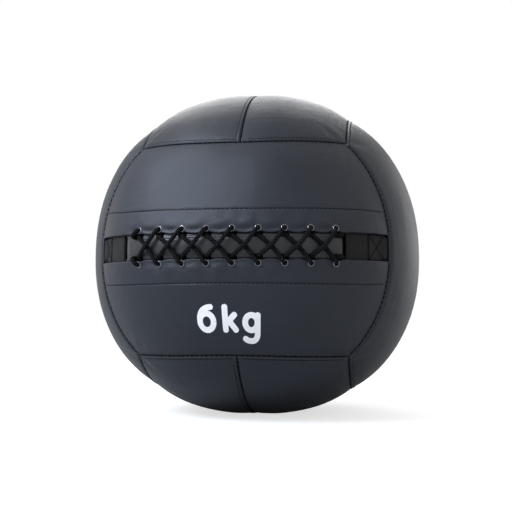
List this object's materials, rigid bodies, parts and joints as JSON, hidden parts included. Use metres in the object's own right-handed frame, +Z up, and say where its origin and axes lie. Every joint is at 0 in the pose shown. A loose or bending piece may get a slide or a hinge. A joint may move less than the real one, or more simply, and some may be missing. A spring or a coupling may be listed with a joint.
{
  "type": "wall ball",
  "caption": "Large soft weighted ball for throwing at a wall: sewn leather panels, a laced slit, foam padding, textile filling and a weight bag.",
  "frame": {"origin": "on the floor under the ball's centre, in the plane of the flat patch that the ball rests on", "axes": "+Z up, the laced front towards -Y, +X to the right of someone who faces the laced front"},
  "size_m": [0.35, 0.3588, 0.3438],
  "materials": {
    "cover_leather": "fine embossed weave, semi-matte",
    "closure_leather": "smooth, semi-matte",
    "webbing": "woven polyester webbing",
    "lace": "round braided cord",
    "eyelet_metal": "bright plated",
    "foam": "soft black foam sheet",
    "cotton": "plain cotton cloth",
    "textile_filling": "shredded textile",
    "tie_cord": "wound cord",
    "iron_sand": "loose fine grains"
  },
  "bodies": {
    "root": {"cover_front_upper": "cover_leather", "cover_front_lower": "cover_leather", "cover_back_upper": "cover_leather", "cover_back_lower": "cover_leather", "cover_left_front": "cover_leather", "cover_left_back": "cover_leather", "cover_right_front": "cover_leather", "cover_right_back": "cover_leather", "cover_top_left": "cover_leather", "cover_top_right": "cover_leather", "cover_bottom_left": "cover_leather", "cover_bottom_right": "cover_leather", "hem_facing_upper": "closure_leather", "hem_facing_lower": "closure_leather", "closure_tongue": "closure_leather", "webbing_tab_left": "webbing", "webbing_tab_right": "webbing", "lace_from_upper_left": "lace", "lace_from_lower_left": "lace", "eyelet_upper_1": "eyelet_metal", "eyelet_upper_2": "eyelet_metal", "eyelet_upper_3": "eyelet_metal", "eyelet_upper_4": "eyelet_metal", "eyelet_upper_5": "eyelet_metal", "eyelet_upper_6": "eyelet_metal", "eyelet_upper_7": "eyelet_metal", "eyelet_upper_8": "eyelet_metal", "eyelet_upper_9": "eyelet_metal", "eyelet_lower_1": "eyelet_metal", "eyelet_lower_2": "eyelet_metal", "eyelet_lower_3": "eyelet_metal", "eyelet_lower_4": "eyelet_metal", "eyelet_lower_5": "eyelet_metal", "eyelet_lower_6": "eyelet_metal", "eyelet_lower_7": "eyelet_metal", "eyelet_lower_8": "eyelet_metal", "eyelet_lower_9": "eyelet_metal", "pad_front_upper": "foam", "pad_front_lower": "foam", "pad_back_upper": "foam", "pad_back_lower": "foam", "pad_left_front": "foam", "pad_left_back": "foam", "pad_right_front": "foam", "pad_right_back": "foam", "pad_top_left": "foam", "pad_top_right": "foam", "pad_bottom_left": "foam", "pad_bottom_right": "foam", "pad_closure": "foam", "sack_front": "cotton", "sack_back": "cotton", "weight_bag": "cotton", "filling_front": "textile_filling", "filling_back": "textile_filling", "weight_bag_tie": "tie_cord", "iron_sand_charge": "iron_sand"}
  },
  "joints": []
}
